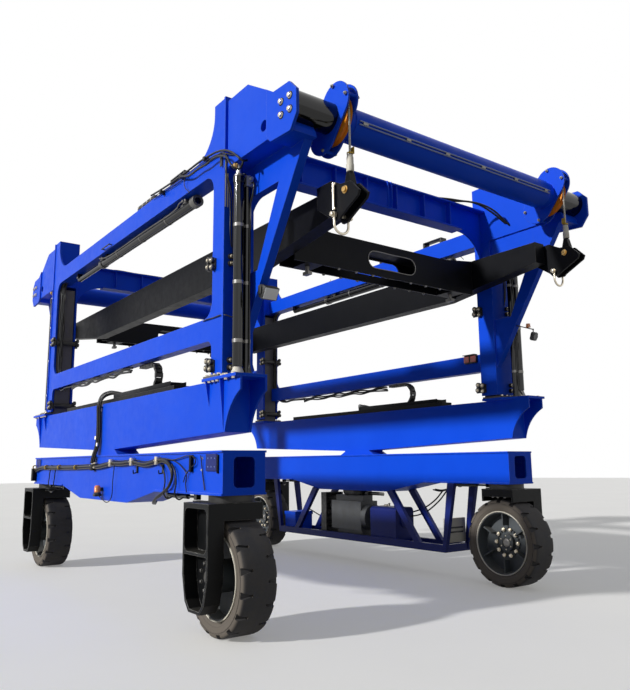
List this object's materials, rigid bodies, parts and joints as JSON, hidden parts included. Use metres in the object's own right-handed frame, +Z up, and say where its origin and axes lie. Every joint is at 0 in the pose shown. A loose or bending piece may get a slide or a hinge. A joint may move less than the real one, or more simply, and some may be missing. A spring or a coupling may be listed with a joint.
{
  "type": "straddle carrier",
  "caption": "Self-propelled straddle carrier: steered wheels on legs, long wheel beams, rising side frames and a spreader hung on ropes over an open load bay.",
  "frame": {"origin": "on the ground under the middle of the machine", "axes": "+X to the machine's right seen from its front, +Y to its rear, +Z up"},
  "size_m": [4.86, 9.0216, 5.33],
  "materials": {
    "blue_paint": "gloss",
    "navy_paint": "satin",
    "black_paint": "satin",
    "grey_paint": "satin",
    "orange_sheave": "satin",
    "dark_steel": "oiled",
    "bright_steel": "bright",
    "tyre": "matte",
    "black_plastic": "matte"
  },
  "bodies": {
    "chassis": {"wheel_beam_left": "blue_paint", "wheel_beam_right": "blue_paint", "sill_left": "blue_paint", "sill_right": "blue_paint", "fixed_masts_left": "grey_paint", "fixed_masts_right": "grey_paint", "lift_barrels_left": "black_paint", "lift_barrels_right": "black_paint", "slewing_rings": "dark_steel", "steering_cylinders": "black_paint", "power_pack_frame": "navy_paint", "engine_block": "dark_steel", "radiator": "dark_steel", "hydraulic_tank": "navy_paint", "battery_box": "blue_paint", "cable_trays": "black_plastic"},
    "gantry": {"side_frame_left": "blue_paint", "side_frame_right": "blue_paint", "cross_tube_front": "blue_paint", "cross_tube_rear": "blue_paint", "inner_tubes": "black_paint", "cross_beam_front": "blue_paint", "cross_beam_rear": "blue_paint", "sheaves": "orange_sheave", "hoist_cylinders_left": "black_paint", "hoist_cylinders_right": "black_paint", "lift_rods": "bright_steel", "guide_rollers_left": "black_paint", "guide_rollers_right": "black_paint", "ropes": "bright_steel"},
    "spreader": {"spreader_beam_left": "black_paint", "spreader_beam_right": "black_paint", "spreader_end_front": "black_paint", "spreader_end_rear": "black_paint", "shackles": "bright_steel", "corner_locks": "bright_steel"},
    "leg_body_front_left": {"leg_front_left": "black_paint"},
    "wheel_body_front_left": {"tyre_front_left": "tyre", "rim_front_left": "grey_paint"},
    "leg_body_front_right": {"leg_front_right": "black_paint"},
    "wheel_body_front_right": {"tyre_front_right": "tyre", "rim_front_right": "grey_paint"},
    "leg_body_rear_left": {"leg_rear_left": "black_paint"},
    "wheel_body_rear_left": {"tyre_rear_left": "tyre", "rim_rear_left": "grey_paint"},
    "leg_body_rear_right": {"leg_rear_right": "black_paint"},
    "wheel_body_rear_right": {"tyre_rear_right": "tyre", "rim_rear_right": "grey_paint"}
  },
  "joints": [
    {"name": "mast_lift", "type": "slide", "parent": "chassis", "child": "gantry", "axis": [0, 0, 1], "range_m": [0, 0.8]},
    {"name": "spreader_hoist", "type": "slide", "parent": "gantry", "child": "spreader", "axis": [0, 0, 1], "range_m": [-1.2, 0.15], "deforming": ["ropes"]},
    {"name": "steer_front_left", "type": "hinge", "parent": "chassis", "child": "leg_body_front_left", "pos_m": [-2.05, -2.93, 1.22], "axis": [0, 0, 1], "range_deg": [-40, 40]},
    {"name": "wheel_front_left", "type": "hinge", "parent": "leg_body_front_left", "child": "wheel_body_front_left", "pos_m": [-2.05, -2.93, 0.545], "axis": [1, 0, 0], "continuous": true},
    {"name": "steer_front_right", "type": "hinge", "parent": "chassis", "child": "leg_body_front_right", "pos_m": [2.05, -2.93, 1.22], "axis": [0, 0, 1], "range_deg": [-40, 40]},
    {"name": "wheel_front_right", "type": "hinge", "parent": "leg_body_front_right", "child": "wheel_body_front_right", "pos_m": [2.05, -2.93, 0.545], "axis": [1, 0, 0], "continuous": true},
    {"name": "steer_rear_left", "type": "hinge", "parent": "chassis", "child": "leg_body_rear_left", "pos_m": [-2.05, 2.93, 1.22], "axis": [0, 0, 1], "range_deg": [-40, 40]},
    {"name": "wheel_rear_left", "type": "hinge", "parent": "leg_body_rear_left", "child": "wheel_body_rear_left", "pos_m": [-2.05, 2.93, 0.545], "axis": [1, 0, 0], "continuous": true},
    {"name": "steer_rear_right", "type": "hinge", "parent": "chassis", "child": "leg_body_rear_right", "pos_m": [2.05, 2.93, 1.22], "axis": [0, 0, 1], "range_deg": [-40, 40]},
    {"name": "wheel_rear_right", "type": "hinge", "parent": "leg_body_rear_right", "child": "wheel_body_rear_right", "pos_m": [2.05, 2.93, 0.545], "axis": [1, 0, 0], "continuous": true}
  ]
}
